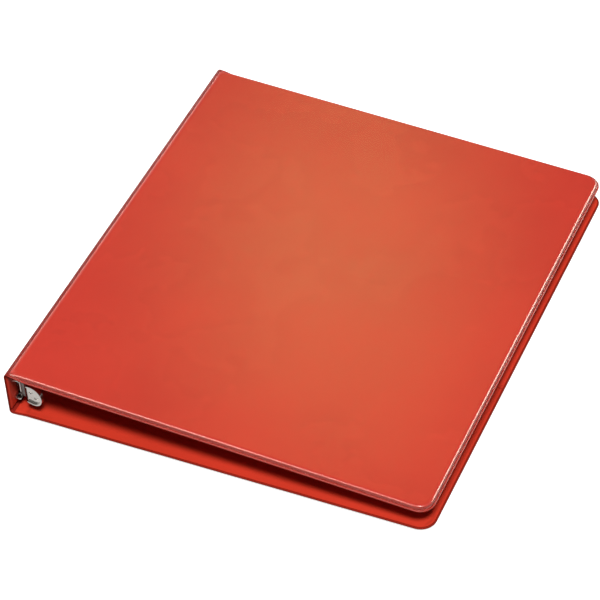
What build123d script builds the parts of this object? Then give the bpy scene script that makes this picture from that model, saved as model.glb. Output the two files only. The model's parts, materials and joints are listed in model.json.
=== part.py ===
from build123d import *
import math
import os

# Three-ring view binder, letter size, closed and lying on its back cover.
# +X runs from the spine to the fore edge, +Y to the top edge of the covers, +Z up.
# Origin: bottom centre of the closed binder. Millimetres.

os.makedirs("parts", exist_ok=True)

# ---------------------------------------------------------------- driving dimensions
COVER_W = 260.0          # spine outer face to fore edge of a cover, flange included
COVER_L = 292.0          # height of the covers along the spine, flange included
SPINE_H = 33.2           # outer face to outer face at the spine
CLOSED_TILT = 3.3        # degrees the closed front cover leans down towards the fore edge

LINER_T = 0.25           # inner vinyl
BOARD_T = 2.0            # greyboard
SKIN_T = 0.25            # outer vinyl
FILM_T = 0.15            # clear overlay
POCKET_T = 0.20          # inside pocket sheet
PANEL_T = LINER_T + BOARD_T + SKIN_T + FILM_T

FLANGE_W = 1.4           # welded rim outside the board
FORE_R = 9.5             # corner radius of the welded rim at the fore edge
CROWN_FILLET = 0.5       # outer edge of the vinyl over the board
HINGE_IN = 1.7           # hinge axis below the outer faces
GAP_IN = 4.5             # board edge to the outer face of the neighbouring panel

RIVET_DOME = 0.9         # height of the rivet heads outside the spine
SPINE_X = -(COVER_W - RIVET_DOME) / 2.0     # outer face of the spine
MECH_X = SPINE_X + PANEL_T                  # inner face of the spine
MID_Z = SPINE_H / 2.0
HALF_L = COVER_L / 2.0
CROWN_HALF = HALF_L - FLANGE_W

RIVET_Y = 124.0
RIVET_R = 2.0
CUT_DEPTH = 8.0          # deep enough to pass right through the ring mechanism


def save(piece, name):
    piece.part.label = name
    export_step(piece.part, "parts/" + name + ".step")


# ---------------------------------------------------------------- panel planes
# Local x runs from the hinge axis across the panel, local z points out of the binder.
# Local y is +Y on the spine and the front cover, and -Y on the back cover.
tilt = math.radians(CLOSED_TILT)
back_plane = Plane(origin=(SPINE_X + HINGE_IN, 0, HINGE_IN), x_dir=(1, 0, 0), z_dir=(0, 0, -1))
spine_plane = Plane(origin=(SPINE_X + HINGE_IN, 0, HINGE_IN), x_dir=(0, 0, 1), z_dir=(-1, 0, 0))
front_plane = Plane(
    origin=(SPINE_X + HINGE_IN, 0, SPINE_H - HINGE_IN),
    x_dir=(math.cos(tilt), 0, -math.sin(tilt)),
    z_dir=(math.sin(tilt), 0, math.cos(tilt)),
)


def level(plane, height):
    """The panel plane at a height above the panel's inner face."""
    return plane.offset(HINGE_IN - PANEL_T + height)


# ---------------------------------------------------------------- panel outlines
# Distances across a panel are measured from the outer face of the neighbouring panel.
def panel_outline(start, end, half, radius):
    """Rectangle from start to end, with the corners at end rounded."""
    with BuildSketch() as outline:
        with BuildLine():
            Polyline(
                (start - HINGE_IN, -half), (end - HINGE_IN, -half),
                (end - HINGE_IN, half), (start - HINGE_IN, half), close=True,
            )
        make_face()
        if radius > 0:
            fillet(outline.vertices().group_by(Axis.X)[-1], radius)
    return outline.sketch


def sheet_outline(points, open_sign, radius):
    """Sheet drawn with its foot at -y, turned over by open_sign; far corner of the foot rounded."""
    with BuildSketch() as outline:
        with BuildLine():
            Polyline(*[(x - HINGE_IN, y * open_sign) for x, y in points], close=True)
        make_face()
        if radius > 0:
            corners = outline.vertices().group_by(Axis.X)[-1].sort_by(Axis.Y)
            fillet(corners[0] if open_sign > 0 else corners[-1], radius)
    return outline.sketch


def overlay_outline(end, radius, open_sign):
    """Clear film: near the rim at the foot, set further back at its open top edge."""
    start = GAP_IN + 0.4
    foot = CROWN_HALF - 0.6
    mouth = CROWN_HALF - 3.0
    points = ((start, -foot), (end, -foot), (end, mouth), (start, mouth))
    return sheet_outline(points, open_sign, radius)


def pocket_outline(open_sign):
    """Inside pocket: open at the top, with the hinge-side corner of the mouth cut off."""
    inset, cut = 0.6, 26.0
    start, end = GAP_IN + 6.0, COVER_W - inset
    foot, mouth = HALF_L - inset, HALF_L - 118.0
    points = (
        (start, -foot), (end, -foot), (end, -mouth), (start + cut, -mouth), (start, -mouth - cut),
    )
    return sheet_outline(points, open_sign, FORE_R - inset)


BOARD_EDGE = COVER_W - FLANGE_W - SKIN_T
BOARD_HALF = CROWN_HALF - SKIN_T
VINYL_START = GAP_IN - SKIN_T
SPINE_EDGE = SPINE_H - GAP_IN

# rim: welded flange; crown: vinyl raised over the board; core: the board itself
cover_rim = panel_outline(VINYL_START, COVER_W, HALF_L, FORE_R)
cover_crown = panel_outline(VINYL_START, COVER_W - FLANGE_W, CROWN_HALF, FORE_R - FLANGE_W)
cover_core = panel_outline(GAP_IN, BOARD_EDGE, BOARD_HALF, FORE_R - FLANGE_W - SKIN_T)
spine_rim = panel_outline(VINYL_START, SPINE_EDGE + SKIN_T, HALF_L, 0)
spine_crown = panel_outline(VINYL_START, SPINE_EDGE + SKIN_T, CROWN_HALF, 0)
spine_core = panel_outline(GAP_IN, SPINE_EDGE, BOARD_HALF, 0)

with BuildSketch() as rivet_holes:
    with Locations((MID_Z - HINGE_IN, RIVET_Y), (MID_Z - HINGE_IN, -RIVET_Y)):
        Circle(RIVET_R)


# ---------------------------------------------------------------- panel layers
def layer(plane, outline, height, thickness, holes=False):
    """Flat layer of a panel, from a height above the panel's inner face."""
    with BuildPart() as piece:
        with BuildSketch(level(plane, height)):
            add(outline)
        extrude(amount=thickness)
        if holes:
            with BuildSketch(level(plane, -1.0)):
                add(rivet_holes.sketch)
            extrude(amount=PANEL_T + 2.0, mode=Mode.SUBTRACT)
    return piece


def outer_vinyl(plane, rim, crown, core, holes=False):
    """Vinyl tray over the board, with a thin rim lying on the liner."""
    with BuildPart() as piece:
        with BuildSketch(level(plane, LINER_T)):
            add(crown)
        extrude(amount=BOARD_T + SKIN_T)
        top = piece.faces().filter_by(lambda face: face.normal_at().dot(plane.z_dir) > 0.99)
        fillet(top.edges(), CROWN_FILLET)
        with BuildSketch(level(plane, LINER_T)):
            add(rim)
        extrude(amount=SKIN_T)
        with BuildSketch(level(plane, LINER_T)):
            add(core)
        extrude(amount=BOARD_T, mode=Mode.SUBTRACT)
        if holes:
            with BuildSketch(level(plane, -1.0)):
                add(rivet_holes.sketch)
            extrude(amount=PANEL_T + 2.0, mode=Mode.SUBTRACT)
    return piece


def save_panel(name, plane, rim, crown, core, overlay, holes=False):
    save(layer(plane, core, LINER_T, BOARD_T, holes), name + "_board")
    save(outer_vinyl(plane, rim, crown, core, holes), name + "_outer_vinyl")
    save(layer(plane, rim, 0.0, LINER_T, holes), name + "_liner")
    save(layer(plane, overlay, PANEL_T - FILM_T, FILM_T, holes), name + "_clear_overlay")


# open_sign is the direction of the binder's top edge along the plane's local y
for cover, plane, open_sign in (("back", back_plane, -1), ("front", front_plane, 1)):
    film = overlay_outline(COVER_W - FLANGE_W - 0.6, FORE_R - FLANGE_W - 0.6, open_sign)
    save_panel(cover, plane, cover_rim, cover_crown, cover_core, film)
    pocket = layer(plane, pocket_outline(open_sign), -POCKET_T, POCKET_T)
    save(pocket, cover + "_inside_pocket")

spine_film = overlay_outline(SPINE_EDGE - 0.4, 0, 1)
save_panel("spine", spine_plane, spine_rim, spine_crown, spine_core, spine_film, holes=True)

# ---------------------------------------------------------------- hinge strips
# Board-free vinyl strips, each bent through a quarter turn round its corner of the spine.
STRIP_T = 0.5
STRIP_MID = 1.05                        # strip centre line below the outer faces
STRIP_R = 2.1                           # bend radius of the centre line
STRIP_COVER_END = 3.95                  # x of the edge on the cover side, from the spine
section_plane = Plane(origin=(SPINE_X, 0, 0), x_dir=(1, 0, 0), z_dir=(0, -1, 0))


def hinge_strip(base_z, sign):
    """Strip section in x and z, extruded along the spine. sign turns over the upper hinge."""
    outer, inner = STRIP_MID - STRIP_T / 2.0, STRIP_MID + STRIP_T / 2.0
    centre = STRIP_MID + STRIP_R
    diagonal = math.sqrt(0.5)
    outer_mid = centre - (STRIP_R + STRIP_T / 2.0) * diagonal
    inner_mid = centre - (STRIP_R - STRIP_T / 2.0) * diagonal

    def at(x, z):
        return (x, base_z + sign * z)

    with BuildPart() as piece:
        with BuildSketch(section_plane.offset(-CROWN_HALF)):
            with BuildLine():
                Line(at(STRIP_COVER_END, outer), at(centre, outer))
                ThreePointArc(at(centre, outer), at(outer_mid, outer_mid), at(outer, centre))
                Line(at(outer, centre), at(outer, VINYL_START))
                Line(at(outer, VINYL_START), at(inner, VINYL_START))
                Line(at(inner, VINYL_START), at(inner, centre))
                ThreePointArc(at(inner, centre), at(inner_mid, inner_mid), at(centre, inner))
                Line(at(centre, inner), at(STRIP_COVER_END, inner))
                Line(at(STRIP_COVER_END, inner), at(STRIP_COVER_END, outer))
            make_face()
        extrude(amount=2.0 * CROWN_HALF)
    return piece


save(hinge_strip(0.0, 1), "back_hinge_strip")
save(hinge_strip(SPINE_H, -1), "front_hinge_strip")

# ---------------------------------------------------------------- ring mechanism
# "across" is measured along +Z from the middle of the spine, "rise" along +X from its inner face.
HOUSING_HALF_W = 7.5
HOUSING_H = 6.6          # rise of the crown
HOUSING_WALL_H = 4.0
HOUSING_HALF_L = 141.0
SHEET_T = 0.7
LIP_IN = 6.0             # half width of the slot in the housing's floor

RING_PITCH = 107.95      # 4 1/4 in hole spacing of US letter sheets
RING_R = 7.8             # wire centre line
WIRE_R = 1.3
RING_CENTRE_RISE = 12.6
LEG_ACROSS = 4.4
LEG_FOOT = 2.25          # rise of the shoulder where a leg stands in its rail
TENON_R = 0.9
PEEN_R = 1.4             # tenon end spread under the rail
PEEN_BASE = 0.9
PEEN_TOP = 1.5

RIVET_SEAT_DEPTH = 0.4   # sunk into the housing's crown
RIVET_FLARE_R = 2.9
RIVET_FLARE_T = 0.75
RIVET_HEAD_R = 4.4
RIVET_BORE_R = 1.35

PIN_Y = 137.5
PIN_RISE = 3.0
PIN_R = 0.7
PIN_HEAD_R = 1.15
PIN_HEAD_T = 0.45

RINGS = (("bottom", -RING_PITCH), ("middle", 0.0), ("top", RING_PITCH))
SIDES = ((1, "front"), (-1, "back"))
RIVET_SEATS = ((RIVET_Y, 0), (-RIVET_Y, 0))

# mech_plane: local x is across, local y is rise, local z is +Y
mech_plane = Plane(origin=(MECH_X, 0, MID_Z), x_dir=(0, 0, 1), z_dir=(0, 1, 0))
# seat_plane looks down on the housing: local x is +Y, local y is across, local z is rise
seat_plane = Plane(origin=(MECH_X, 0, MID_Z), x_dir=(0, 1, 0), z_dir=(1, 0, 0))
# cross_plane: local x is rise, local y is +Y, local z is across
cross_plane = Plane(origin=(MECH_X, 0, MID_Z), x_dir=(1, 0, 0), z_dir=(0, 0, 1))


def housing():
    """Folded sheet channel with an arched crown and a floor slotted down the middle."""
    # half width, base, wall top and crown of the outside, then of the hollow
    profiles = (
        (HOUSING_HALF_W, 0, HOUSING_WALL_H, HOUSING_H, Mode.ADD),
        (HOUSING_HALF_W - SHEET_T, SHEET_T, HOUSING_WALL_H - 0.12, HOUSING_H - SHEET_T,
         Mode.SUBTRACT),
    )
    with BuildPart() as piece:
        with BuildSketch(mech_plane.offset(-HOUSING_HALF_L)):
            for half, base, wall, crown, mode in profiles:
                with BuildLine():
                    Line((-half, base), (-half, wall))
                    ThreePointArc((-half, wall), (0, crown), (half, wall))
                    Line((half, wall), (half, base))
                    Line((half, base), (-half, base))
                make_face(mode=mode)
            Rectangle(2 * LIP_IN, 4 * SHEET_T, mode=Mode.SUBTRACT)
            # curls that hold the outer edges of the rails
            with Locations((LIP_IN + SHEET_T / 2, 1.1), (-LIP_IN - SHEET_T / 2, 1.1)):
                Rectangle(SHEET_T, 0.85)
        extrude(amount=2 * HOUSING_HALF_L)
        # long outer corners against the spine
        fillet(
            piece.edges().filter_by(Axis.Y).filter_by(
                lambda edge: abs(abs(edge.center().Z - MID_Z) - HOUSING_HALF_W) < 0.01
                and edge.center().X < MECH_X + 0.01
            ),
            0.45,
        )
        # notches the half rings come out through
        with BuildSketch(seat_plane.offset(3.35)):
            with Locations(*[(y, side * 5.6) for _, y in RINGS for side, _ in SIDES]):
                Rectangle(2 * WIRE_R + 0.7, 5.6)
        extrude(amount=CUT_DEPTH, mode=Mode.SUBTRACT)
        # holes and sunk seats for the two rivets
        with BuildSketch(seat_plane.offset(3.0)):
            with Locations(*RIVET_SEATS):
                Circle(RIVET_R)
        extrude(amount=CUT_DEPTH, mode=Mode.SUBTRACT)
        with BuildSketch(seat_plane.offset(HOUSING_H - RIVET_SEAT_DEPTH)):
            with Locations(*RIVET_SEATS):
                Circle(RIVET_FLARE_R)
        extrude(amount=2, mode=Mode.SUBTRACT)
        # each end is open on top, which leaves two ears for the lever pin
        with BuildSketch(seat_plane.offset(1.7)):
            with Locations((HOUSING_HALF_L, 0), (-HOUSING_HALF_L, 0)):
                Rectangle(15.0, 12.6)
        extrude(amount=CUT_DEPTH, mode=Mode.SUBTRACT)
        with BuildSketch(cross_plane.offset(-10)):
            with Locations((PIN_RISE, PIN_Y), (PIN_RISE, -PIN_Y)):
                Circle(PIN_R)
        extrude(amount=20, mode=Mode.SUBTRACT)
    return piece


def rivets():
    """Two tubular rivets, from a head outside the spine to a flare on the housing's crown."""
    with BuildPart() as piece:
        for seat in RIVET_SEATS:
            # shank
            with BuildSketch(seat_plane.offset(-PANEL_T)):
                with Locations(seat):
                    Circle(RIVET_R)
            extrude(amount=PANEL_T + HOUSING_H)
            # flare
            with BuildSketch(seat_plane.offset(HOUSING_H - RIVET_SEAT_DEPTH)):
                with Locations(seat):
                    Circle(RIVET_FLARE_R)
            extrude(amount=RIVET_FLARE_T)
            # head
            with BuildSketch(seat_plane.offset(-PANEL_T - RIVET_DOME)):
                with Locations(seat):
                    Circle(RIVET_HEAD_R)
            extrude(amount=RIVET_DOME)
            # bore, open on the inside
            with BuildSketch(seat_plane.offset(-PANEL_T + 0.6)):
                with Locations(seat):
                    Circle(RIVET_BORE_R)
            extrude(amount=PANEL_T + HOUSING_H + 2, mode=Mode.SUBTRACT)
        flare_edges = piece.edges().filter_by(GeomType.CIRCLE).filter_by(
            lambda edge: edge.center().X > MECH_X + HOUSING_H + 0.3
        )
        fillet(flare_edges, 0.25)
        head_edges = piece.edges().filter_by(GeomType.CIRCLE).filter_by(
            lambda edge: edge.center().X < SPINE_X - RIVET_DOME + 0.01
        )
        fillet(head_edges, RIVET_DOME - 0.15)
    return piece


save(housing(), "ring_housing")
save(rivets(), "mounting_rivets")

# ---------------------------------------------------------------- rails
RAIL_T = 0.9
RAIL_HALF_L = 135.2
RAIL_PIVOT_ACROSS = 6.3
RAIL_PIVOT_RISE = 2.2
RAIL_SWING = 14.0        # degrees from shut to open; the shut rails dip by half of it
RAIL_GAP = 0.12          # from each rail's inner edge to the middle of the spine


def rail(side):
    """Flat rail whose rounded outer edge turns in the housing's curl."""
    dip = math.radians(RAIL_SWING / 2.0)
    width = (RAIL_PIVOT_ACROSS - RAIL_GAP) / math.cos(dip)
    half_t = RAIL_T / 2.0
    ring_seats = [(y, side * LEG_ACROSS) for _, y in RINGS]

    def at(along, up):
        """Across and rise of a point along the rail's width and up from its middle."""
        across = RAIL_PIVOT_ACROSS - along * math.cos(dip) - up * math.sin(dip)
        rise = RAIL_PIVOT_RISE - along * math.sin(dip) + up * math.cos(dip)
        return (side * across, rise)

    with BuildPart() as piece:
        with BuildSketch(mech_plane.offset(-RAIL_HALF_L)):
            with BuildLine():
                Line(at(0, half_t), at(width, half_t))
                Line(at(width, half_t), at(width, -half_t))
                Line(at(width, -half_t), at(0, -half_t))
                ThreePointArc(at(0, -half_t), at(-half_t, 0), at(0, half_t))
            make_face()
        extrude(amount=2 * RAIL_HALF_L)
        # narrow tongues at both ends reach into the levers; clearance round the rivets
        with BuildSketch(seat_plane.offset(-1)):
            with Locations((134.0, side * 6.1), (-134.0, side * 6.1)):
                Rectangle(5.4, 4.0)
            with Locations(*RIVET_SEATS):
                Circle(RIVET_R + 0.6)
        extrude(amount=CUT_DEPTH, mode=Mode.SUBTRACT)
        # radius, start and depth of the tenon holes, shoulder seats and peen seats
        for radius, start, depth in (
            (TENON_R, -1, CUT_DEPTH),
            (WIRE_R, LEG_FOOT, 4),
            (PEEN_R, -1, PEEN_TOP + 1),
        ):
            with BuildSketch(seat_plane.offset(start)):
                with Locations(*ring_seats):
                    Circle(radius)
            extrude(amount=depth, mode=Mode.SUBTRACT)
    return piece


# ---------------------------------------------------------------- half rings
LEG_BEND_R = 1.8
TIP_OVERRUN = 1.2        # wire past the middle, before the tip is cut to shape
TIP_V = 0.8 * 0.9        # half depth of the V at the tips
TIP_V_HALF_W = 2.5
TIP_GAP = 0.05           # between the two tips


def wire_path(side):
    """Centre line of a half ring, across and rise: a leg, a bend, then an arc to the top."""
    top = RING_CENTRE_RISE + RING_R
    foot = RING_CENTRE_RISE - math.sqrt(RING_R**2 - LEG_ACROSS**2)
    leg = side * LEG_ACROSS
    with BuildLine() as path:
        Line((leg, LEG_FOOT), (leg, foot))
        ThreePointArc((leg, foot), (side * RING_R, RING_CENTRE_RISE), (0, top))
        bend = path.vertices().sort_by(lambda vertex: abs(vertex.Y - foot))[0]
        fillet(bend, LEG_BEND_R)
        Line((0, top), (-side * TIP_OVERRUN, top))
    return path.line


def half_ring(side, y):
    line = mech_plane.offset(y).from_local_coords(wire_path(side))
    tip_plane = Plane(
        origin=(MECH_X + RING_CENTRE_RISE, y, MID_Z), x_dir=(0, 1, 0), z_dir=(1, 0, 0)
    )
    give = 0.0 if side > 0 else -TIP_GAP
    far = -6.0 * side
    with BuildPart() as piece:
        with BuildSketch(Plane(origin=line @ 0, z_dir=line % 0)):
            Circle(WIRE_R)
        sweep(path=line)
        # tenon through the rail, peened over underneath
        for radius, start, height in (
            (TENON_R, 1.35, 1.2),
            (PEEN_R, PEEN_BASE, PEEN_TOP - PEEN_BASE),
        ):
            with BuildSketch(seat_plane.offset(start)):
                with Locations((y, side * LEG_ACROSS)):
                    Circle(radius)
            extrude(amount=height)
        # the tips lock together on a V that keeps them in line along the spine
        with BuildSketch(tip_plane):
            with BuildLine():
                Polyline(
                    (-TIP_V_HALF_W, -TIP_V + give), (0, TIP_V + give),
                    (TIP_V_HALF_W, -TIP_V + give),
                    (TIP_V_HALF_W, far), (-TIP_V_HALF_W, far), close=True,
                )
            make_face()
        extrude(amount=12.0, mode=Mode.SUBTRACT)
    return piece


for side, side_name in SIDES:
    save(rail(side), side_name + "_rail")
    for ring_name, ring_y in RINGS:
        save(half_ring(side, ring_y), side_name + "_half_ring_" + ring_name)


# ---------------------------------------------------------------- levers
PAD_LEAN = 8.0           # degrees the lever pads lean outwards
PAD_Y = 141.1
PAD_RISE = 9.2
PAD_T = 2.4

# Thumb pad outlines on the pad plane: straight lower points, then an arc over the crown.
PAD_FOOT = ((-6.9, 4.0), (-6.6, 1.2), (-5.9, 0.2), (5.9, 0.2), (6.6, 1.2), (6.9, 4.0))
PAD_CROWN = (0, 11.0)
RECESS_FOOT = ((-6.0, 4.0), (-5.75, 1.0), (-5.6, 0.0), (5.6, 0.0), (5.75, 1.0), (6.0, 4.0))
RECESS_CROWN = (0, 10.1)

# Lever profiles: (rise, distance inwards from the pin's axis along the housing).
NECK_AND_FLOOR = (
    (3.95, 3.7), (3.95, -1.1), (4.1, -1.45), (4.5, -1.7), (6.6, -1.85), (7.5, -2.1),
    (8.5, -2.85), (9.45, -3.75), (9.55, -3.02), (8.9, -2.3), (7.8, -1.45),
    (6.8, -1.15), (5.1, -1.0), (4.75, -0.7), (4.75, 3.7),
)
UPPER_FINGER = ((2.55, 2.7), (4.2, 2.7), (4.2, 3.7), (2.55, 3.7))
LOWER_FINGER = (
    (4.2, 0.95), (0.25, 0.95), (0.25, 3.6), (0.75, 3.6), (0.75, 1.75), (4.2, 1.75),
)
CHEEK = (
    (0.25, 3.7), (0.25, 2.5), (1.25, 0.6), (1.25, -0.9), (2.3, -1.5),
    (3.9, -1.1), (4.4, -1.6), (6.2, -1.8), (6.2, -1.1), (5.0, -0.6), (4.75, 3.7),
)
# (start across, width across, profile)
LEVER_STRIPS = (
    (-5.5, 11.0, NECK_AND_FLOOR),   # a strip bent over the pin
    (-2.0, 4.0, UPPER_FINGER),      # folded down at the inner end of the floor
    (-1.2, 2.4, LOWER_FINGER),      # down between pin and rail ends, then in under the rails
    (4.6, 0.9, CHEEK),              # the two cheeks turn on the pin
    (-5.5, 0.9, CHEEK),
)


def lever(end):
    """Stamped lever at the bottom (end -1) or top (end 1) of the housing."""
    lean = math.radians(PAD_LEAN)
    # local y climbs the pad, local z points back into the binder
    pad_plane = Plane(
        origin=(MECH_X + PAD_RISE, end * PAD_Y, MID_Z),
        x_dir=(0, 0, -end),
        z_dir=(math.sin(lean), -end * math.cos(lean), 0),
    )
    with BuildPart() as piece:
        with BuildSketch(pad_plane.offset(-PAD_T / 2)):
            with BuildLine():
                Polyline(*PAD_FOOT)
                ThreePointArc(PAD_FOOT[-1], PAD_CROWN, PAD_FOOT[0])
            make_face()
        extrude(amount=PAD_T)
        # recesses that leave a rim standing out on both faces
        for start in (-2.0, 0.6):
            with BuildSketch(pad_plane.offset(start)):
                with BuildLine():
                    Polyline(*RECESS_FOOT)
                    ThreePointArc(RECESS_FOOT[-1], RECESS_CROWN, RECESS_FOOT[0])
                make_face()
            extrude(amount=1.9, mode=Mode.SUBTRACT)
        # two grip marks pressed into the outer face of the pad
        with BuildSketch(pad_plane.offset(-0.3)):
            with Locations((1.6, 2.9), (-1.4, 6.2)):
                SlotOverall(3.8, 1.5, rotation=50)
        extrude(amount=0.65, mode=Mode.SUBTRACT)
        for start, width, profile in LEVER_STRIPS:
            with BuildSketch(cross_plane.offset(start)):
                with BuildLine():
                    Polyline(
                        *[(rise, end * (PIN_Y - inwards)) for rise, inwards in profile],
                        close=True,
                    )
                make_face()
            extrude(amount=width)
        with BuildSketch(cross_plane.offset(-8)):
            with Locations((PIN_RISE, end * PIN_Y)):
                Circle(PIN_R + 0.05)
        extrude(amount=16, mode=Mode.SUBTRACT)
    return piece


def lever_pin(end):
    """Pin across the housing, with a head outside each wall."""
    with BuildPart() as piece:
        for radius, start, length in (
            (PIN_R, -HOUSING_HALF_W, 2 * HOUSING_HALF_W),
            (PIN_HEAD_R, -HOUSING_HALF_W - PIN_HEAD_T, PIN_HEAD_T),
            (PIN_HEAD_R, HOUSING_HALF_W, PIN_HEAD_T),
        ):
            with BuildSketch(cross_plane.offset(start)):
                with Locations((PIN_RISE, end * PIN_Y)):
                    Circle(radius)
            extrude(amount=length)
    return piece


for end, end_name in ((-1, "bottom"), (1, "top")):
    save(lever(end), end_name + "_lever")
    save(lever_pin(end), end_name + "_lever_pin")
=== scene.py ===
# Red vinyl ring binder, closed and lying on its back cover.
# X runs across the covers (spine at -X, fore edge at +X), Y along the spine (top edge at +Y),
# Z up (back cover at the floor, front cover above it, sloping down to the fore edge).
# Each panel is greyboard between an outer vinyl and a liner, welded around the rim, under a
# clear film. Both covers have an inside pocket; bent strips join them to the spine.
import bmesh
import bpy
import json
import math
import numpy as np
from mathutils import Matrix, Vector, noise

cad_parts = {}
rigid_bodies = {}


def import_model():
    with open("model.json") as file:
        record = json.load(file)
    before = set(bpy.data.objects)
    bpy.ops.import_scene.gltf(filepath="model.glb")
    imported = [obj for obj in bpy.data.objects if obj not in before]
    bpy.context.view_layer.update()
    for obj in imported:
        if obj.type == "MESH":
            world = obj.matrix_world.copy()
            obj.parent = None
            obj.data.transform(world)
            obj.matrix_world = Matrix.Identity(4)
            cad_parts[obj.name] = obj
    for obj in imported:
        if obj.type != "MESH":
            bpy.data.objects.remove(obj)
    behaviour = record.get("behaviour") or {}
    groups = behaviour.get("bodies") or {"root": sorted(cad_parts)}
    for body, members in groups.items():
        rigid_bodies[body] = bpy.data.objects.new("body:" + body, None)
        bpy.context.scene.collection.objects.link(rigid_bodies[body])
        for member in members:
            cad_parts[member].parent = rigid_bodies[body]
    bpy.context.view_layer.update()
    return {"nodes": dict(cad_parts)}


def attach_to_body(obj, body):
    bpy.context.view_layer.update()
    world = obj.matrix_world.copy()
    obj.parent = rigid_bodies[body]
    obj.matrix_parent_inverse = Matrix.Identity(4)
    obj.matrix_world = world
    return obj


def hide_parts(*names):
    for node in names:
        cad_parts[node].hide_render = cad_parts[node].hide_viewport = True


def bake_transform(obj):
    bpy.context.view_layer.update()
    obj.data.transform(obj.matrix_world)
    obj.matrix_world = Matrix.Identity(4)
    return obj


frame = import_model()

# ------------------------------------------------------------------ dimensions, mm
MM = 0.001               # metres in one millimetre
COVER_W = 260.0          # spine's outer face to fore edge
HALF_L = 146.0           # half the length along Y
SPINE_H = 33.2
RIVET_DOME = 0.9
PANEL_T = 2.65
HINGE_IN = 1.7           # the front cover turns about a line this far in from both outer faces
TILT = math.radians(3.3)
FORE_R = 9.5             # radius of the covers' fore corners
EDGE_IN = 3.5            # where a panel's vinyl meets the hinge strip
SPINE_X = -(COVER_W - RIVET_DOME) / 2.0
SPINE_INNER_X = SPINE_X + PANEL_T
# where the lever's neck folds; painted shade darkens the lever metal below this x
LEVER_FOLD_X = SPINE_INNER_X + 8.6


# ------------------------------------------------------------------ shaping functions
def smooth(t):
    t = min(1.0, max(0.0, t))
    return t * t * (3 - 2 * t)


def ease(value, start, width):
    """Smooth step from 0 at start to 1 one width further on; a negative width looks downwards."""
    return smooth((value - start) / width)


def bell(value, centre, width):
    return math.exp(-((value - centre) / width) ** 2)


def wave(x, y, size, seed, z=0):
    return noise.noise(Vector((x / size + seed * 7.31, y / size - seed * 3.17, z / size + seed)))


def curve(points):
    stations, levels = zip(*points)
    return lambda value: float(np.interp(value, stations, levels))


# (distance in from the welded rim, outer level) of the board's shoulder
SHOULDER = curve([
    (0, -9), (1.02, -.5), (1.10, .36), (1.20, .72), (1.30, 1.08), (1.42, 1.42),
    (1.56, 1.75), (1.74, 2.03), (1.96, 2.25), (2.24, 2.40), (2.6, 2.475), (3.1, 2.50), (9, 2.5)])
# (distance in from the hinge strip, level) of the outer and the inner face
HINGE_OUTER = curve([
    (0, 1.42), (.10, 1.46), (.18, 1.62), (.26, 1.84), (.38, 2.04), (.55, 2.22),
    (.75, 2.36), (1.0, 2.45), (1.4, 2.5), (9, 2.5)])
HINGE_INNER = curve([
    (0, 1.28), (.10, 1.22), (.20, .98), (.32, .66), (.48, .38), (.68, .18),
    (.95, .06), (1.3, 0), (9, 0)])
HINGE_INNER_END = 1.3

# round bead along the welded rim: small beside a hinge, growing away from it
BEAD_LEVEL, BEAD_R, BEAD_R_GROWTH = 0.28, 0.33, 0.29
FAR_BEAD_LEVEL = {"front": -0.06, "back": 0.50}
RIM_LIFT = 1.02          # how far the rim climbs to the level of the hinge strip


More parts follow.
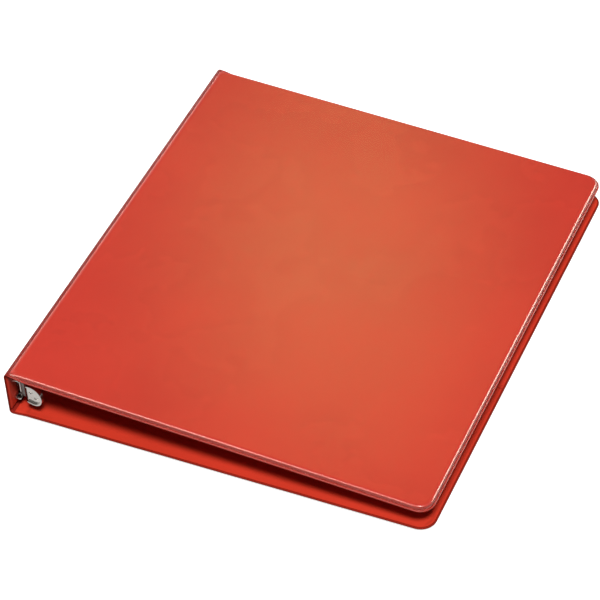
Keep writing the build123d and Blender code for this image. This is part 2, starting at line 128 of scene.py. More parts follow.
class Panel:
    """Cover or spine. Its coordinates: across, from the neighbour's outer face; y; and the
    level, from the panel's inner face outwards."""

    def __init__(self, name, seed):
        self.name = name
        self.seed = seed
        self.is_spine = name == "spine"
        self.body = name if self.is_spine else name + "_cover"
        self.start = EDGE_IN
        self.end = SPINE_H - EDGE_IN if self.is_spine else COVER_W
        self.hinge_sides = ("low", "high") if self.is_spine else ("low",)
        self.corner = 0.0 if self.is_spine else FORE_R
        self.steps = 20 if self.is_spine else 100

    def place(self, across, y, level):
        """Panel coordinates to frame coordinates, mm."""
        if self.name == "back":
            return (SPINE_X + across, y, PANEL_T - level)
        if self.is_spine:
            return (SPINE_X + PANEL_T - level, y, across)
        run, rise = across - HINGE_IN, level - (PANEL_T - HINGE_IN)
        cos, sin = math.cos(TILT), math.sin(TILT)
        return (SPINE_X + HINGE_IN + run * cos + rise * sin, y,
                SPINE_H - HINGE_IN - run * sin + rise * cos)

    def distances(self, across, y):
        """Distance in from the welded rim and from the hinge strip."""
        if self.is_spine:
            return HALF_L - abs(y), min(across - self.start, self.end - across)
        from_fore, from_end = self.end - across, HALF_L - abs(y)
        if from_fore < FORE_R and from_end < FORE_R:
            rim = FORE_R - math.hypot(FORE_R - from_fore, FORE_R - from_end)
        else:
            rim = min(from_fore, from_end)
        return rim, across - self.start

    def bead(self, across):
        """Level of the bead's centre, and its radius."""
        if self.is_spine:
            return BEAD_LEVEL, BEAD_R
        growth = ease(across, 5.0, 11.0)
        level = BEAD_LEVEL + (FAR_BEAD_LEVEL[self.name] - BEAD_LEVEL) * growth
        return level, BEAD_R + BEAD_R_GROWTH * growth

    def rim_lift(self, across, rim):
        near_hinge = 1.0 if self.is_spine else ease(across, 13.0, -9.0)
        return RIM_LIFT * near_hinge * (1 - ease(rim, 0.9, 1.2))

    def flutter(self, across, y, rim):
        """The unsupported rim is never quite flat."""
        return 0.09 * wave(across, y, 23.0, self.seed) * (1 - ease(rim, 0.2, 1.0))

    def ripple(self, across, y, height, size, seed_step):
        """Faint unevenness of the face, fading towards its edges."""
        fade = ease(min(self.distances(across, y)), 3, 12)
        return height * wave(across, y, size, self.seed + seed_step) * fade

    def outer(self, across, y):
        rim, hinge = self.distances(across, y)
        centre, radius = self.bead(across)
        if rim < radius:
            level = centre + math.sqrt(max(radius * radius - (radius - rim) ** 2, 0.0))
        else:
            level = centre + radius - 0.15 * ease(rim, radius, 0.32)
        level = max(level, SHOULDER(rim)) + self.rim_lift(across, rim)
        level = min(level, HINGE_OUTER(hinge)) + self.flutter(across, y, rim)
        return level + self.ripple(across, y, height=0.030, size=48.0, seed_step=10)

    def inner(self, across, y):
        rim, hinge = self.distances(across, y)
        centre, radius = self.bead(across)
        if rim < radius:
            level = centre - math.sqrt(max(radius * radius - (radius - rim) ** 2, 0.0))
        else:
            level = (centre - radius) * (1 - ease(rim, radius, 1.0))
        level += self.rim_lift(across, rim)
        if hinge < HINGE_INNER_END:
            level = max(level, HINGE_INNER(hinge))
        level += self.flutter(across, y, rim)
        return level + self.ripple(across, y, height=0.025, size=40.0, seed_step=20)

    def middle(self, across, y):
        """Where the outer and inner sheets meet inside the weld."""
        rim, hinge = self.distances(across, y)
        centre = self.bead(across)[0]
        level = centre + (0.25 - centre) * ease(rim, 0, 0.8)
        level = level + self.rim_lift(across, rim) + self.flutter(across, y, rim)
        if hinge < HINGE_INNER_END:
            level = max(level, min(1.35, HINGE_INNER(hinge) + 0.1))
        return level

    def outer_shade_and_gloss(self, across, y):
        """Tone and gloss of the outer vinyl along the pressed rim and hinge; the darker tone
        there is painted shade of the rim's groove and the board's shoulder slope.
        """
        rim, hinge = self.distances(across, y)
        weld = min(rim, hinge + 0.7) if hinge < 2.5 else rim
        # painted shade: the tone darkens the bead, the groove and the shoulder's outer slope
        tone = 0.64 - 0.09 * ease(weld, 0.5, 0.4) + 0.45 * ease(weld, 1.3, 0.9)
        gloss = 2.6 + 0.4 * ease(weld, 1.2, 0.5) - 2.9 * ease(weld, 2.5, 0.8)
        return tone, gloss

    def inner_shade_and_gloss(self, across, y):
        """Tone and gloss of the liner: darker and duller along the rim, the darker tone being
        painted shade at the rim's edge; the whole spine liner is darker too, painted shade inside
        the spine.
        """
        rim = self.distances(across, y)[0]
        tone = 0.42 + 0.58 * ease(rim, 0.85, 0.6)
        # painted shade: the spine's liner is darkened to 0.80
        return tone * (0.80 if self.is_spine else 1.0), 0.15 + 0.85 * ease(rim, 1.2, 0.6)


BACK, SPINE, FRONT = Panel("back", 1), Panel("spine", 2), Panel("front", 3)


# ------------------------------------------------------------------ mesh helpers
def make_object(name, verts, faces, material, sharp_angle):
    mesh = bpy.data.meshes.new(name)
    mesh.from_pydata([(x * MM, y * MM, z * MM) for x, y, z in verts], [], faces)
    mesh.validate()
    mesh.update()
    for poly in mesh.polygons:
        poly.use_smooth = True
    mesh.set_sharp_from_angle(angle=sharp_angle)
    obj = bpy.data.objects.new(name, mesh)
    bpy.context.scene.collection.objects.link(obj)
    mesh.materials.append(material)
    return obj


def clean_mesh(mesh, merge=False):
    """Turn all normals outwards, after merging coincident points if asked."""
    edit = bmesh.new()
    edit.from_mesh(mesh)
    if merge:
        bmesh.ops.remove_doubles(edit, verts=edit.verts, dist=2e-6)
        bmesh.ops.dissolve_degenerate(edit, edges=edit.edges, dist=1e-6)
    bmesh.ops.recalc_face_normals(edit, faces=edit.faces)
    edit.to_mesh(mesh)
    edit.free()


def set_weld_and_shade_tone(mesh, marks):
    """Store the vinyl's (tone, gloss) at each vertex: tone as colour (painted shade on rims and
    hinge strips, weld marks on pockets), gloss as alpha.
    """
    layer = mesh.color_attributes.new("weld", "FLOAT_COLOR", "POINT")
    flat = []
    for tone, gloss in marks:
        flat += (tone, tone, tone, gloss)
    layer.data.foreach_set("color", flat)


def attach(obj, body, replaced):
    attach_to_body(obj, body)
    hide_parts(replaced)


SHELL_SHARP = math.radians(38)
SHEET_SHARP = math.radians(50)
LENGTH_STEPS, CORNER_STEPS = 110, 8
# loops crowd towards a hinge side: insets up to PACKED_TO shrink by this factor there
PACKED_TO, PACKING = 4.10, 0.36


def contour(low, high, foot, head, foot_radius, head_radius, steps):
    """Closed loop: foot side, fore side, head side, hinge side. The number of points is fixed,
    so the two square hinge corners and any zero radius repeat one point."""
    def line(start, end, count):
        return [start + (end - start) * i / count for i in range(count)]

    def corner(x, y, radius, start):
        angles = [start + math.pi / 2 * i / CORNER_STEPS for i in range(CORNER_STEPS)]
        return [(x + radius * math.cos(a), y + radius * math.sin(a)) for a in angles]

    points = [(across, foot) for across in line(low, high - foot_radius, steps)]
    points += corner(high - foot_radius, foot + foot_radius, foot_radius, -math.pi / 2)
    points += [(high, y) for y in line(foot + foot_radius, head - head_radius, LENGTH_STEPS)]
    points += corner(high - head_radius, head - head_radius, head_radius, 0)
    points += [(across, head) for across in line(high - head_radius, low, steps)]
    points += corner(low, head, 0.0, math.pi / 2)
    points += [(low, y) for y in line(head, foot, LENGTH_STEPS)]
    points += corner(low, foot, 0.0, math.pi)
    return points


def shell(name, panel, insets, top, bottom, box, radii, material, hinge_sides=(), weld=None):
    """Closed sheet: loops from the rim inwards on the top face, the same on the bottom face.
    box is (low, high, foot, head), radii those of the fore corners at foot and head."""
    low, high, foot, head = box
    half_width = min(high - low, head - foot) / 2
    insets = [inset for inset in insets if inset < half_width - 1.2]
    while insets[-1] < half_width - 1.2:
        last = insets[-1]
        insets.append(min(last + max(1.5, last * 0.30), half_width - 1.0))
    loops = []
    for inset in insets:
        packed = inset * PACKING if inset <= PACKED_TO else inset - PACKED_TO * (1 - PACKING)
        low_in = packed if "low" in hinge_sides else inset
        high_in = packed if "high" in hinge_sides else inset
        foot_radius, head_radius = [max(radius - inset, 0.0) for radius in radii]
        loops.append(contour(low + low_in, high - high_in, foot + inset, head - inset,
                             foot_radius, head_radius, panel.steps))
    points = [point for loop in loops for point in loop]
    verts = [panel.place(across, y, face(across, y))
             for face in (top, bottom) for across, y in points]
    count, total = len(loops[0]), len(points)
    faces = []
    for k in range(len(loops) - 1):
        for i in range(count):
            j = (i + 1) % count
            a, b, c, d = (k * count + i, k * count + j,
                          (k + 1) * count + j, (k + 1) * count + i)
            faces.append((a, b, c, d))
            faces.append((total + a, total + d, total + c, total + b))
    for i in range(count):
        j = (i + 1) % count
        faces.append((i, total + i, total + j, j))
    faces.append(tuple(range(total - count, total)))
    faces.append(tuple(reversed(range(2 * total - count, 2 * total))))
    obj = make_object(name, verts, faces, material, SHELL_SHARP)
    if weld:
        set_weld_and_shade_tone(obj.data, [weld(across, y) for across, y in points] * 2)
    clean_mesh(obj.data, merge=True)
    obj.data.set_sharp_from_angle(angle=SHELL_SHARP)
    return obj


def grid_sheet(name, verts, columns, material, marks):
    """Closed sheet from two equal grids of points, one layer after the other."""
    total = len(verts) // 2
    last_column, last_row = columns - 1, total // columns - 1
    faces = []
    for j in range(last_row):
        for i in range(last_column):
            a = j * columns + i
            b, c, d = a + 1, a + columns + 1, a + columns
            faces.append((a, b, c, d))
            faces.append((total + a, total + d, total + c, total + b))
    rim = list(range(last_column))
    rim += [j * columns + last_column for j in range(last_row)]
    rim += [last_row * columns + i for i in range(last_column, 0, -1)]
    rim += [j * columns for j in range(last_row, 0, -1)]
    for a, b in zip(rim, rim[1:] + rim[:1]):
        faces.append((a, total + a, total + b, b))
    obj = make_object(name, verts, faces, material, SHEET_SHARP)
    set_weld_and_shade_tone(obj.data, marks)
    clean_mesh(obj.data)
    return obj


# ------------------------------------------------------------------ shader helpers
FLOAT_A, FLOAT_B = 2, 3            # sockets of a Mix node that mixes numbers
COLOR_A, COLOR_B, COLOR_OUT = 6, 7, 2   # and of one that mixes colours


def node(tree, kind, inputs=None, **settings):
    """New node; each input is given as a value or as the output socket that feeds it."""
    made = tree.nodes.new(kind)
    for key, value in settings.items():
        setattr(made, key, value)
    for socket, value in (inputs or {}).items():
        if isinstance(value, bpy.types.NodeSocket):
            tree.links.new(value, made.inputs[socket])
        else:
            made.inputs[socket].default_value = value
    return made


def new_material(name):
    material = bpy.data.materials.new(name)
    material.use_nodes = True
    material.node_tree.nodes.clear()
    return material, material.node_tree


def object_coords(tree):
    return node(tree, "ShaderNodeTexCoord").outputs["Object"]


def noise_texture(tree, coords, scale, detail, roughness=0.5):
    values = {"Vector": coords, "Scale": scale, "Detail": detail, "Roughness": roughness}
    return node(tree, "ShaderNodeTexNoise", values).outputs["Fac"]


def color_ramp(tree, factor, dark, light, start=0.0, end=1.0):
    ramp = node(tree, "ShaderNodeValToRGB", {"Fac": factor})
    first, second = ramp.color_ramp.elements
    first.position, second.position = start, end
    first.color, second.color = [*dark, 1], [*light, 1]
    return ramp.outputs["Color"]


def multiply_color(tree, factor, base, tint):
    mix = node(tree, "ShaderNodeMix", data_type="RGBA", blend_type="MULTIPLY",
               inputs={0: factor, COLOR_A: base, COLOR_B: tint})
    return mix.outputs[COLOR_OUT]


def calculate(tree, operation, *values):
    made = node(tree, "ShaderNodeMath", dict(enumerate(values)), operation=operation)
    return made.outputs[0]


def remap(tree, value, low, high, start=0.0, end=1.0, **settings):
    """Map start..end to low..high."""
    values = {"Value": value, "From Min": start, "From Max": end, "To Min": low, "To Max": high}
    return node(tree, "ShaderNodeMapRange", values, **settings).outputs["Result"]


def bump(tree, height, strength, distance, under=None):
    """Bump on top of the normal of another one, if given; distance in metres."""
    values = {"Height": height, "Strength": strength, "Distance": distance}
    if under:
        values["Normal"] = under
    return node(tree, "ShaderNodeBump", values).outputs["Normal"]


def scaled(color, factor):
    return [channel * factor for channel in color]


# ------------------------------------------------------------------ materials
def vinyl(name, base, rough, grain, specular, coat=0.0):
    """Calendered vinyl: a slightly mottled colour, fine grain and faint waves in the gloss.
    The mesh's weld attribute scales its colour and its specular level; the colour it brings is
    painted shade on the rims and hinge strips, weld marks on the pockets."""
    material, tree = new_material(name)
    coords = object_coords(tree)
    mottle = noise_texture(tree, coords, scale=14.0, detail=3.0)
    fine = noise_texture(tree, coords, scale=1500.0, detail=4.0, roughness=0.6)
    pebble = node(tree, "ShaderNodeTexVoronoi", {"Vector": coords, "Scale": 2600.0})
    wide = noise_texture(tree, coords, scale=70.0, detail=4.0, roughness=0.55)
    color = color_ramp(tree, mottle, scaled(base, 0.95), scaled(base, 1.05), start=0.3, end=0.7)
    color = multiply_color(tree, 0.10, color, fine)
    weld = node(tree, "ShaderNodeAttribute", attribute_name="weld")
    grain_height = calculate(tree, "MULTIPLY_ADD", pebble.outputs["Distance"], 0.6, fine)
    normal = bump(tree, grain_height, strength=grain, distance=0.00006)
    shader = node(tree, "ShaderNodeBsdfPrincipled", {
        # the weld attribute's colour here applies painted shade on rims and hinge strips
        "Base Color": multiply_color(tree, 1.0, color, weld.outputs["Color"]),
        "Roughness": remap(tree, wide, rough - 0.05, rough + 0.07),
        "Normal": bump(tree, wide, strength=0.25, distance=0.0003, under=normal),
        "Specular IOR Level": specular,
        "Coat Weight": coat,
        "Coat Roughness": 0.22,
    })
    gloss = calculate(tree, "MULTIPLY", weld.outputs["Alpha"], specular)
    tree.links.new(gloss, shader.inputs["Specular IOR Level"])
    node(tree, "ShaderNodeOutputMaterial", {"Surface": shader.outputs[0]})
    return material


def clear_film(name, rough=0.265):
    """Clear film: see-through, with a soft surface reflection, uneven gloss and faint marks."""
    material, tree = new_material(name)
    coords = object_coords(tree)
    wide = noise_texture(tree, coords, scale=26.0, detail=3.0)
    fine = noise_texture(tree, coords, scale=900.0, detail=3.0, roughness=0.6)
    marks = node(tree, "ShaderNodeTexWave",
                 {"Vector": coords, "Scale": 60.0, "Distortion": 14.0, "Detail": 3.0})
    normal = bump(tree, wide, strength=0.10, distance=0.0002)
    gloss = node(tree, "ShaderNodeBsdfGlossy", distribution="BECKMANN", inputs={
        "Color": (1.0, 0.97, 0.92, 1),
        "Roughness": remap(tree, wide, rough - 0.02, rough + 0.04),
        "Normal": bump(tree, fine, strength=0.05, distance=0.00005, under=normal),
    })
    clear = node(tree, "ShaderNodeBsdfTransparent", {"Color": (0.995, 0.99, 0.98, 1)})
    fresnel = node(tree, "ShaderNodeFresnel", {"IOR": 1.52}).outputs["Fac"]
    # only the front side of a face reflects
    backfacing = node(tree, "ShaderNodeNewGeometry").outputs["Backfacing"]
    facing = calculate(tree, "SUBTRACT", 1.0, backfacing)
    haze = calculate(tree, "MULTIPLY_ADD", marks.outputs["Fac"], 0.006, fresnel)
    shader = node(tree, "ShaderNodeMixShader", {
        0: calculate(tree, "MULTIPLY", haze, facing),
        1: clear.outputs[0],
        2: gloss.outputs[0],
    })
    node(tree, "ShaderNodeOutputMaterial", {"Surface": shader.outputs[0]})
    return material


def nickel(name, base=(0.62, 0.60, 0.57), rough=0.2, fold=None):
    """Bright nickel plate with rolling marks and a little haze; darker at x below fold, in m,
    which is painted shade on the lever's neck.
    """
    material, tree = new_material(name)
    coords = object_coords(tree)
    haze = noise_texture(tree, coords, scale=120.0, detail=5.0, roughness=0.6)
    fine = noise_texture(tree, coords, scale=2500.0, detail=3.0, roughness=0.6)
    stretch = node(tree, "ShaderNodeMapping", {"Vector": coords, "Scale": (60.0, 1.5, 60.0)})
    lines = noise_texture(tree, stretch.outputs["Vector"], scale=40.0, detail=4.0,
                          roughness=0.65)
    color = color_ramp(tree, haze, scaled(base, 0.90), scaled(base, 1.06), start=0.35, end=0.68)
    # painted shade: below x = fold the colour drops to 0.30 of its value
    if fold is not None:
        x = node(tree, "ShaderNodeSeparateXYZ", {0: coords}).outputs[0]
        side = remap(tree, x, 0.30, 1.0, start=fold - 0.0006, end=fold + 0.0006,
                     interpolation_type="SMOOTHSTEP")
        color = multiply_color(tree, 1.0, color, side)
    normal = bump(tree, lines, strength=0.10, distance=0.00004)
    shader = node(tree, "ShaderNodeBsdfPrincipled", {
        "Metallic": 1.0,
        "Base Color": color,
        "Roughness": remap(tree, lines, rough - 0.06, rough + 0.10),
        "Normal": bump(tree, fine, strength=0.06, distance=0.00003, under=normal),
    })
    node(tree, "ShaderNodeOutputMaterial", {"Surface": shader.outputs[0]})
    return material


def greyboard(name):
    material, tree = new_material(name)
    coords = object_coords(tree)
    fibre = noise_texture(tree, coords, scale=600.0, detail=8.0, roughness=0.7)
    shader = node(tree, "ShaderNodeBsdfPrincipled", {
        "Roughness": 0.9,
        "Base Color": color_ramp(tree, fibre, (0.20, 0.18, 0.15), (0.42, 0.39, 0.34)),
        "Normal": bump(tree, fibre, strength=0.4, distance=0.0002),
    })
    node(tree, "ShaderNodeOutputMaterial", {"Surface": shader.outputs[0]})
    return material


OUTER_RED = (0.70, 0.046, 0.028)
INNER_RED = (0.735, 0.050, 0.024)
outer_vinyl = vinyl("red_vinyl", OUTER_RED, rough=0.42, grain=0.12, specular=0.15)
liner_vinyl = vinyl("red_liner", INNER_RED, rough=0.46, grain=0.3, specular=0.2)
pocket_vinyl = vinyl("red_pocket", INNER_RED, rough=0.38, grain=0.2, specular=0.25, coat=0.03)
film_clear = clear_film("overlay_film")
plate_metal = nickel("nickel_plate")
# the lever's neck, below LEVER_FOLD_X, gets painted shade
lever_metal = nickel("nickel_lever", fold=LEVER_FOLD_X * MM)
board_grey = greyboard("greyboard")

# ------------------------------------------------------------------ covers and spine
# insets of the loops of points, counted in from a piece's edge
VINYL_INSETS = [
    0, .015, .05, .10, .17, .26, .38, .50, .62, .74, .86, .98, 1.04, 1.10, 1.20, 1.30, 1.42,
    1.56, 1.74, 1.96, 2.24, 2.6, 3.1, 3.6, 4.10, 5.2, 7.5]
CORE_INSETS = [0, .12, .3, .6, 1.0, 2.0]
FILM_INSETS = [
    0, .05, .15, .3, .5, .7, .9, 1.1, 1.3, 1.5, 1.7, 2.0, 2.4, 3.0, 4.0, 5.5, 8.0,
    12, 18, 26, 36, 50, 66, 84, 104]
LAYER_GAP = 0.004        # between outer vinyl and liner inside the weld
CORE_RIM, CORE_HINGE = 1.85, 1.0     # board edge in from the rim and from a hinge strip
CORE_BELOW, CORE_ABOVE = 0.26, 0.24  # vinyl over the board, liner under it
FILM_T = 0.10
FILM_RIM, FILM_HINGE, FILM_HEAD = 0.70, 0.75, 2.7    # film edge in from rim, hinge, top edge
FILM_HEAD_R = 0.6
BACK_FILM_GAP = 0.024    # under the back cover the binder's weight presses the film flat


def build_vinyl(panel):
    """Outer vinyl and liner, meeting in the middle of the rim weld."""
    shared = {"box": (panel.start, panel.end, -HALF_L, HALF_L),
              "radii": (panel.corner, panel.corner), "hinge_sides": panel.hinge_sides}
    skin = shell(panel.name + "_vinyl_shell", panel, VINYL_INSETS, panel.outer, panel.middle,
                 material=outer_vinyl, weld=panel.outer_shade_and_gloss, **shared)
    attach(skin, panel.body, panel.name + "_outer_vinyl")
    lining = shell(panel.name + "_lining", panel, VINYL_INSETS,
                   lambda across, y: panel.middle(across, y) - LAYER_GAP, panel.inner,
                   material=liner_vinyl, weld=panel.inner_shade_and_gloss, **shared)
    attach(lining, panel.body, panel.name + "_liner")


def build_core(panel):
    high = panel.end - (CORE_HINGE if panel.is_spine else CORE_RIM)
    radius = max(panel.corner - CORE_RIM, 0.0)
    core = shell(panel.name + "_board_core", panel, CORE_INSETS,
                 lambda across, y: panel.outer(across, y) - CORE_BELOW,
                 lambda across, y: panel.inner(across, y) + CORE_ABOVE,
                 (panel.start + CORE_HINGE, high, -HALF_L + CORE_RIM, HALF_L - CORE_RIM),
                 (radius, radius), board_grey)
    attach(core, panel.body, panel.name + "_board")


def film_gap(panel, across, y):
    """Air under the film: least along its welds, more inwards and at the open top edge."""
    rim, hinge = panel.distances(across, y)
    if panel.is_spine:
        weld = min(hinge, y + HALF_L)
    else:
        weld = min(rim if y < 0 else panel.end - across, hinge)
    gap = 0.02 + 0.10 * ease(weld, 0.7, 3.0)
    gap += (0.10 + 0.10 * wave(across, y, 55.0, panel.seed + 30)) * ease(weld, 4.0, 25.0)
    opening = 0.10 * ease(y, HALF_L - 14.0, 11.0) * ease(weld, 3.0, 20.0)
    gap += opening * (0.6 + 0.8 * wave(across, 0, 38.0, panel.seed + 40))
    gap = max(gap, 0.02)
    return min(gap, BACK_FILM_GAP) if panel is BACK else gap


def build_film(panel):
    """Clear overlay, welded in on three sides and open along the top edge."""
    def underside(across, y):
        return panel.outer(across, y) + film_gap(panel, across, y)

    high = panel.end - (FILM_HINGE if panel.is_spine else FILM_RIM)
    radii = (0.0, 0.0) if panel.is_spine else (FORE_R - FILM_RIM, FILM_HEAD_R)
    film = shell(panel.name + "_overlay_film", panel, FILM_INSETS,
                 lambda across, y: underside(across, y) + FILM_T, underside,
                 (panel.start + FILM_HINGE, high, -HALF_L + FILM_RIM, HALF_L - FILM_HEAD),
                 radii, film_clear)
    attach(film, panel.body, panel.name + "_clear_overlay")


for panel in (BACK, SPINE, FRONT):
    build_vinyl(panel)
    build_core(panel)
    build_film(panel)

# ------------------------------------------------------------------ inside pockets
POCKET_IN = 1.2          # in from the cover's rim
POCKET_LOW, POCKET_HIGH = 10.5, COVER_W - POCKET_IN
POCKET_FOOT = -HALF_L + POCKET_IN
POCKET_MOUTH = -HALF_L + 118.0
POCKET_CUT = 26.0        # 45 degree cut of the mouth at the hinge side
POCKET_R = FORE_R - POCKET_IN
POCKET_T = 0.18
POCKET_STEPS, POCKET_EVEN_ROWS = 110, 58
# rows of points near the mouth, as distances below it; the even rows end at HEM_START
HEM_START = 6.0
HEM_ROWS = [5.2, 4.4, 3.7, 3.2, 2.9, 2.7, 2.5, 2.3, 2.1, 1.8, 1.4, 1.0, 0.65, 0.35, 0.15, 0.04,
            0.0]


def pocket_top(across):
    return POCKET_MOUTH - max(0.0, POCKET_LOW + POCKET_CUT - across)


def round_fore_corner(across, y):
    """Bend the square grid of points to the rounded outline."""
    from_fore, from_foot = POCKET_HIGH - across, y - POCKET_FOOT
    if from_fore >= POCKET_R or from_foot >= POCKET_R:
        return across, y
    arc = POCKET_R - min(from_fore, from_foot)
    along = (POCKET_R - max(from_fore, from_foot)) / arc
    angle = -math.pi / 4 * along
    if from_foot <= from_fore:
        angle = -math.pi / 2 + math.pi / 4 * along
    return (POCKET_HIGH - POCKET_R + arc * math.cos(angle),
            POCKET_FOOT + POCKET_R + arc * math.sin(angle))


def pocket_gap(panel, across, y, side):
    """Air behind the pocket: fuller towards mouth and hinge, pressed in along the side weld."""
    from_fore = POCKET_HIGH - across
    fullness = 0.62 + 0.40 * wave(across, y, 44.0, panel.seed + 50)
    rise = ease(y, pocket_top(across) - 30.0, 30.0)
    gap = 0.03 + 0.10 * ease(side, 0, 2.5)
    gap += fullness * rise * ease(side, 0, 30.0) * ease(from_fore, 4.0, 85.0)
    if side < 2.2:
        gap -= 0.07 * bell(side, 1.1, 0.35)
    return gap


def hem_fold(across, below):
    """Extra thickness of the folded hem, with a groove where its lower side is welded."""
    from_fore = POCKET_HIGH - across
    fold = 0.30 * math.sqrt(ease(below, 0, 0.4)) * (1 - ease(below, 1.9, 0.5))
    fold -= 0.06 * bell(below, 2.6, 0.2)
    return fold * (0.4 + 0.6 * ease(from_fore, 0, 50.0)) * ease(from_fore, 0.4, 5.0)


def build_pocket(panel):
    """Sheet welded at the hinge, bottom and fore sides, open at the mouth."""
    outside, inside, marks = [], [], []
    for j in range(POCKET_EVEN_ROWS + len(HEM_ROWS) + 1):
        for i in range(POCKET_STEPS + 1):
            share = i / POCKET_STEPS
            share -= 0.06 * math.sin(2 * math.pi * share)
            across = POCKET_LOW + (POCKET_HIGH - POCKET_LOW) * share
            top = pocket_top(across)
            if j > POCKET_EVEN_ROWS:
                below = HEM_ROWS[j - POCKET_EVEN_ROWS - 1]
            else:
                drop = top - HEM_START - POCKET_FOOT
                below = HEM_START + drop * (1 - j / POCKET_EVEN_ROWS)
            across, y = round_fore_corner(across, top - below)
            side = min(across - POCKET_LOW, panel.distances(across, y)[0] - POCKET_IN)
            level = panel.inner(across, y) - pocket_gap(panel, across, y, side)
            outside.append(panel.place(across, y, level))
            inside.append(panel.place(across, y, level - (POCKET_T + hem_fold(across, below))))
            # darker at the hem weld, the mouth edge and the side weld
            tone = 0.98 - 0.40 * bell(below, 2.6, 0.35) - 0.25 * bell(below, 0, 0.25)
            tone -= 0.30 * bell(side, 1.1, 0.45)
            marks.append((max(tone, 0.4), 1.0))
    pocket = grid_sheet(panel.name + "_pocket_sheet", outside + inside, POCKET_STEPS + 1,
                        pocket_vinyl, marks * 2)
    attach(pocket, panel.body, panel.name + "_inside_pocket")


build_pocket(BACK)
build_pocket(FRONT)

# ------------------------------------------------------------------ hinge strips
STRIP_LEVEL = 1.36       # level of the strip's middle in both panels
STRIP_END, STRIP_BEND = 4.1, 3.3     # across each panel: end of the strip, start of its bend
BEND_HANDLE = 1.204      # length of the bend's Bezier handles
BEND_STEPS, STRIP_STEPS = 20, 150
STRIP_HALF_T = 0.25
# the strips' dark tone is painted shade: the strips face away from the key
STRIP_SHADE_TONE, STRIP_GLOSS = 0.42, 0.6


def strip_path(cover):
    """(x, z) points through the strip's middle, from the cover to the spine, and both ends
    of the bend."""
    def point(panel, across):
        x, _, z = panel.place(across, 0, STRIP_LEVEL)
        return np.array((x, z))

    def spine_point(across):
        return point(SPINE, SPINE_H - across if cover is FRONT else across)

    cover_end, cover_bend = point(cover, STRIP_END), point(cover, STRIP_BEND)
    spine_bend, spine_end = spine_point(STRIP_BEND), spine_point(STRIP_END)
    cover_way = (cover_bend - cover_end) / np.linalg.norm(cover_bend - cover_end)
    spine_way = (spine_bend - spine_end) / np.linalg.norm(spine_bend - spine_end)
    cover_handle = cover_bend + cover_way * BEND_HANDLE
    spine_handle = spine_bend + spine_way * BEND_HANDLE
    path = [cover_end, cover_end + (cover_bend - cover_end) * 0.5]
    for i in range(BEND_STEPS + 1):
        t = i / BEND_STEPS
        path.append((1 - t) ** 3 * cover_bend + 3 * t * (1 - t) ** 2 * cover_handle
                    + 3 * t * t * (1 - t) * spine_handle + t ** 3 * spine_bend)
    path += [spine_end + (spine_bend - spine_end) * 0.5, spine_end]
    return np.array(path), cover_bend, spine_bend


def build_strip(cover):
    path, cover_bend, spine_bend = strip_path(cover)
    tangent = np.gradient(path, axis=0)
    tangent /= np.linalg.norm(tangent, axis=1)[:, None]
    normal = np.stack((-tangent[:, 1], tangent[:, 0]), 1)
    inside = np.array((SPINE_X + 16.0, SPINE_H / 2.0))
    middle = len(path) // 2
    if np.dot(normal[middle], path[middle] - inside) < 0:
        normal = -normal
    pieces = np.linalg.norm(np.diff(path, axis=0), axis=1)
    length = np.concatenate(([0], np.cumsum(pieces)))
    # even rows along y, with closer ones at both ends
    ys = [-HALF_L + 0.05 + (2 * HALF_L - 0.1) * (j / STRIP_STEPS)
          for j in range(1, STRIP_STEPS)]
    ends = (0.02, 0.12, 0.35)
    ys = [-HALF_L + end for end in ends] + ys + [HALF_L - end for end in reversed(ends)]
    crease_seed = 5 if cover is FRONT else 6
    verts = []
    for side in (1, -1):
        for y in ys:
            thick = STRIP_HALF_T * (0.35 + 0.65 * ease(HALF_L - abs(y), 0, 0.3))
            for i in range(len(path)):
                share = length[i] / length[-1]
                bead = 0.07 * (bell(share, 0.20, 0.035) + bell(share, 0.80, 0.035))
                crease = 0.03 * wave(0, y, 9.0, crease_seed, z=share * 9)
                crease *= ease(share, 0, 0.15) * ease(share, 1, -0.15)
                x, z = path[i] + normal[i] * (side * (thick + bead) + crease)
                verts.append((x, y, z))
    strip = grid_sheet(cover.name + "_hinge_vinyl", verts, len(path), outer_vinyl,
                       [(STRIP_SHADE_TONE, STRIP_GLOSS)] * len(verts))
    if cover is FRONT:
        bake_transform(strip)
    else:
        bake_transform(strip)
    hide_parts(cover.name + "_hinge_strip")


build_strip(BACK)
build_strip(FRONT)

# ------------------------------------------------------------------ ring mechanism
for name, obj in frame["nodes"].items():
    if any(key in name for key in ("ring", "rail", "lever", "rivet")):
        is_lever = name in ("bottom_lever", "top_lever")
        obj.data.materials.clear()
        obj.data.materials.append(lever_metal if is_lever else plate_metal)
        for poly in obj.data.polygons:
            poly.use_smooth = True
        obj.data.set_sharp_from_angle(angle=math.radians(30))
        bevel = obj.modifiers.new("edge", "BEVEL")
        bevel.width = 0.12 * MM
        bevel.segments = 2
        bevel.limit_method = "ANGLE"
        bevel.angle_limit = math.radians(40)
        bevel.harden_normals = False


# ------------------------------------------------------------------ lights, metres and watts
def area_light(name, position, size, power, color, target=(0, 0, 0.02)):
    data = bpy.data.lights.new(name, "AREA")
    data.energy = power
    data.color = color
    data.size = size
    obj = bpy.data.objects.new(name, data)
    obj.location = position
    direction = Vector(target) - Vector(position)
    obj.rotation_euler = direction.to_track_quat("-Z", "Y").to_euler()
    bpy.context.scene.collection.objects.link(obj)
    return obj


def receivers(name, endings):
    """Collection of the meshes a reflection lamp works on."""
    group = bpy.data.collections.new(name)
    for obj in bpy.context.scene.objects:
        if obj.type == "MESH" and obj.name.endswith(endings):
            group.objects.link(obj)
    return group


film_group = receivers("film_group", ("_overlay_film",))
skin_group = receivers("skin_group", ("_vinyl_shell", "_hinge_vinyl"))
edge_group = receivers("edge_group", ("_overlay_film", "_vinyl_shell", "_hinge_vinyl"))
area_light("key", (0.90, -1.42, 3.19), size=0.75, power=123.0, color=(1.0, 0.99, 0.97),
           target=(0, 0, 0))
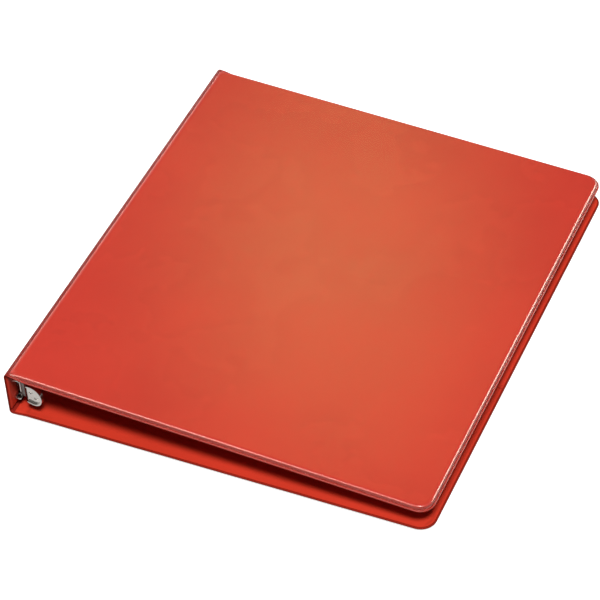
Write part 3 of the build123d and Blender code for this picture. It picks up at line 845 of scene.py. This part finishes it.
# these lamps add gloss to edges and overlay but no diffuse light:
# name, position, size, power, colour, receivers
for name, position, size, power, color, group in (
    ("hotspot", (-0.357, 1.0745, 1.19), 0.21, 0.79, (0.60, 1.0, 0.36), film_group),
    ("near_edge", (-0.53, -1.17, 1.10), 0.72, 20.0, (1.0, 0.86, 0.78), edge_group),
    ("right_edge", (1.17, 1.10, 0.53), 0.90, 37.0, (1.0, 0.83, 0.72), edge_group),
    ("left_edge", (-1.02, 1.07, 0.73), 0.40, 14.0, (1.0, 0.90, 0.84), skin_group),
):
    lamp = area_light(name, position, size, power, color)
    lamp.visible_diffuse = False
    lamp.visible_transmission = False
    lamp.light_linking.receiver_collection = group
# low light from behind the spine, so the sides away from the key are not black
fill = area_light("fill", (-2.30, 1.50, 0.95), size=1.2, power=26.0, color=(0.97, 0.98, 1.0))
fill.visible_glossy = False

# ------------------------------------------------------------------ world
DIFFUSE_LEVEL, GLOSSY_LEVEL, CAMERA_LEVEL = 0.06, 0.20, 1.0   # strength each kind of ray sees
scene = bpy.context.scene
world = bpy.data.worlds.new("studio")
scene.world = world
world.use_nodes = True
tree = world.node_tree
tree.nodes.clear()
ray = node(tree, "ShaderNodeLightPath")
level = node(tree, "ShaderNodeMix", {
    0: ray.outputs["Is Glossy Ray"], FLOAT_A: DIFFUSE_LEVEL, FLOAT_B: GLOSSY_LEVEL})
level = node(tree, "ShaderNodeMix", {
    0: ray.outputs["Is Camera Ray"], FLOAT_A: level.outputs[0], FLOAT_B: CAMERA_LEVEL})
backdrop = node(tree, "ShaderNodeBackground",
                {"Color": (1, 1, 1, 1), "Strength": level.outputs[0]})
node(tree, "ShaderNodeOutputWorld", {"Surface": backdrop.outputs[0]})

# ------------------------------------------------------------------ floor, metres
FLOOR_HALF, FLOOR_Z = 6.0, -0.0004
NEAR_GLOW, FAR_GLOW = 0.80, 1.05     # glow seen by the camera, near the binder and far off


def floor_white(name):
    """Even white for the camera, darker for diffuse rays so it lights the binder little."""
    material, tree = new_material(name)
    grain = node(tree, "ShaderNodeTexNoise", {"Scale": 300.0, "Detail": 3.0})
    shade = color_ramp(tree, grain.outputs["Fac"], (0.78, 0.78, 0.78), (0.82, 0.82, 0.82))
    ray = node(tree, "ShaderNodeLightPath")
    tint = node(tree, "ShaderNodeMix", data_type="RGBA", inputs={
        0: ray.outputs["Is Diffuse Ray"], COLOR_A: shade, COLOR_B: (0.22, 0.22, 0.22, 1)})
    diffuse = node(tree, "ShaderNodeBsdfDiffuse", {"Color": tint.outputs[COLOR_OUT]})
    # further away the floor turns into the same white as the backdrop
    gain = node(tree, "ShaderNodeMath", operation="MULTIPLY",
                inputs={0: ray.outputs["Is Camera Ray"], 1: NEAR_GLOW})
    radius = node(tree, "ShaderNodeVectorMath", {0: object_coords(tree)}, operation="LENGTH")
    glow_level = remap(tree, radius.outputs["Value"], NEAR_GLOW, FAR_GLOW, start=0.35, end=1.5)
    tree.links.new(glow_level, gain.inputs[1])
    glow = node(tree, "ShaderNodeEmission",
                {"Color": (1, 1, 1, 1), "Strength": gain.outputs[0]})
    shader = node(tree, "ShaderNodeAddShader", {0: diffuse.outputs[0], 1: glow.outputs[0]})
    node(tree, "ShaderNodeOutputMaterial", {"Surface": shader.outputs[0]})
    return material


floor_mesh = bpy.data.meshes.new("floor")
signs = ((-1, -1), (1, -1), (1, 1), (-1, 1))
floor_mesh.from_pydata([(x * FLOOR_HALF, y * FLOOR_HALF, FLOOR_Z) for x, y in signs], [],
                       [(0, 1, 2, 3)])
floor = bpy.data.objects.new("floor", floor_mesh)
scene.collection.objects.link(floor)
floor_mesh.materials.append(floor_white("floor_white"))

# ------------------------------------------------------------------ view and camera
scene.view_settings.view_transform = "Standard"
scene.view_settings.look = "None"
scene.view_settings.exposure = 0.0
scene.view_settings.gamma = 1.0

lens = bpy.data.cameras.new("camera")
lens.sensor_width = 36.0
lens.lens = 157.3878
lens.clip_start = 0.01
lens.clip_end = 20
camera = bpy.data.objects.new("camera", lens)
CAMERA_PLACE = Vector((0.4851833, -1.0143205, 1.0813875))
CAMERA_RIGHT = (0.9172299, 0.3953183, -0.0491185)
CAMERA_UP = (-0.2417861, 0.6504631, 0.7200259)
CAMERA_BACK = (0.3165892, -0.6485531, 0.6922067)
turn = Matrix((CAMERA_RIGHT, CAMERA_UP, CAMERA_BACK)).transposed()
camera.matrix_world = Matrix.Translation(CAMERA_PLACE) @ turn.to_4x4()
scene.collection.objects.link(camera)
scene.camera = camera
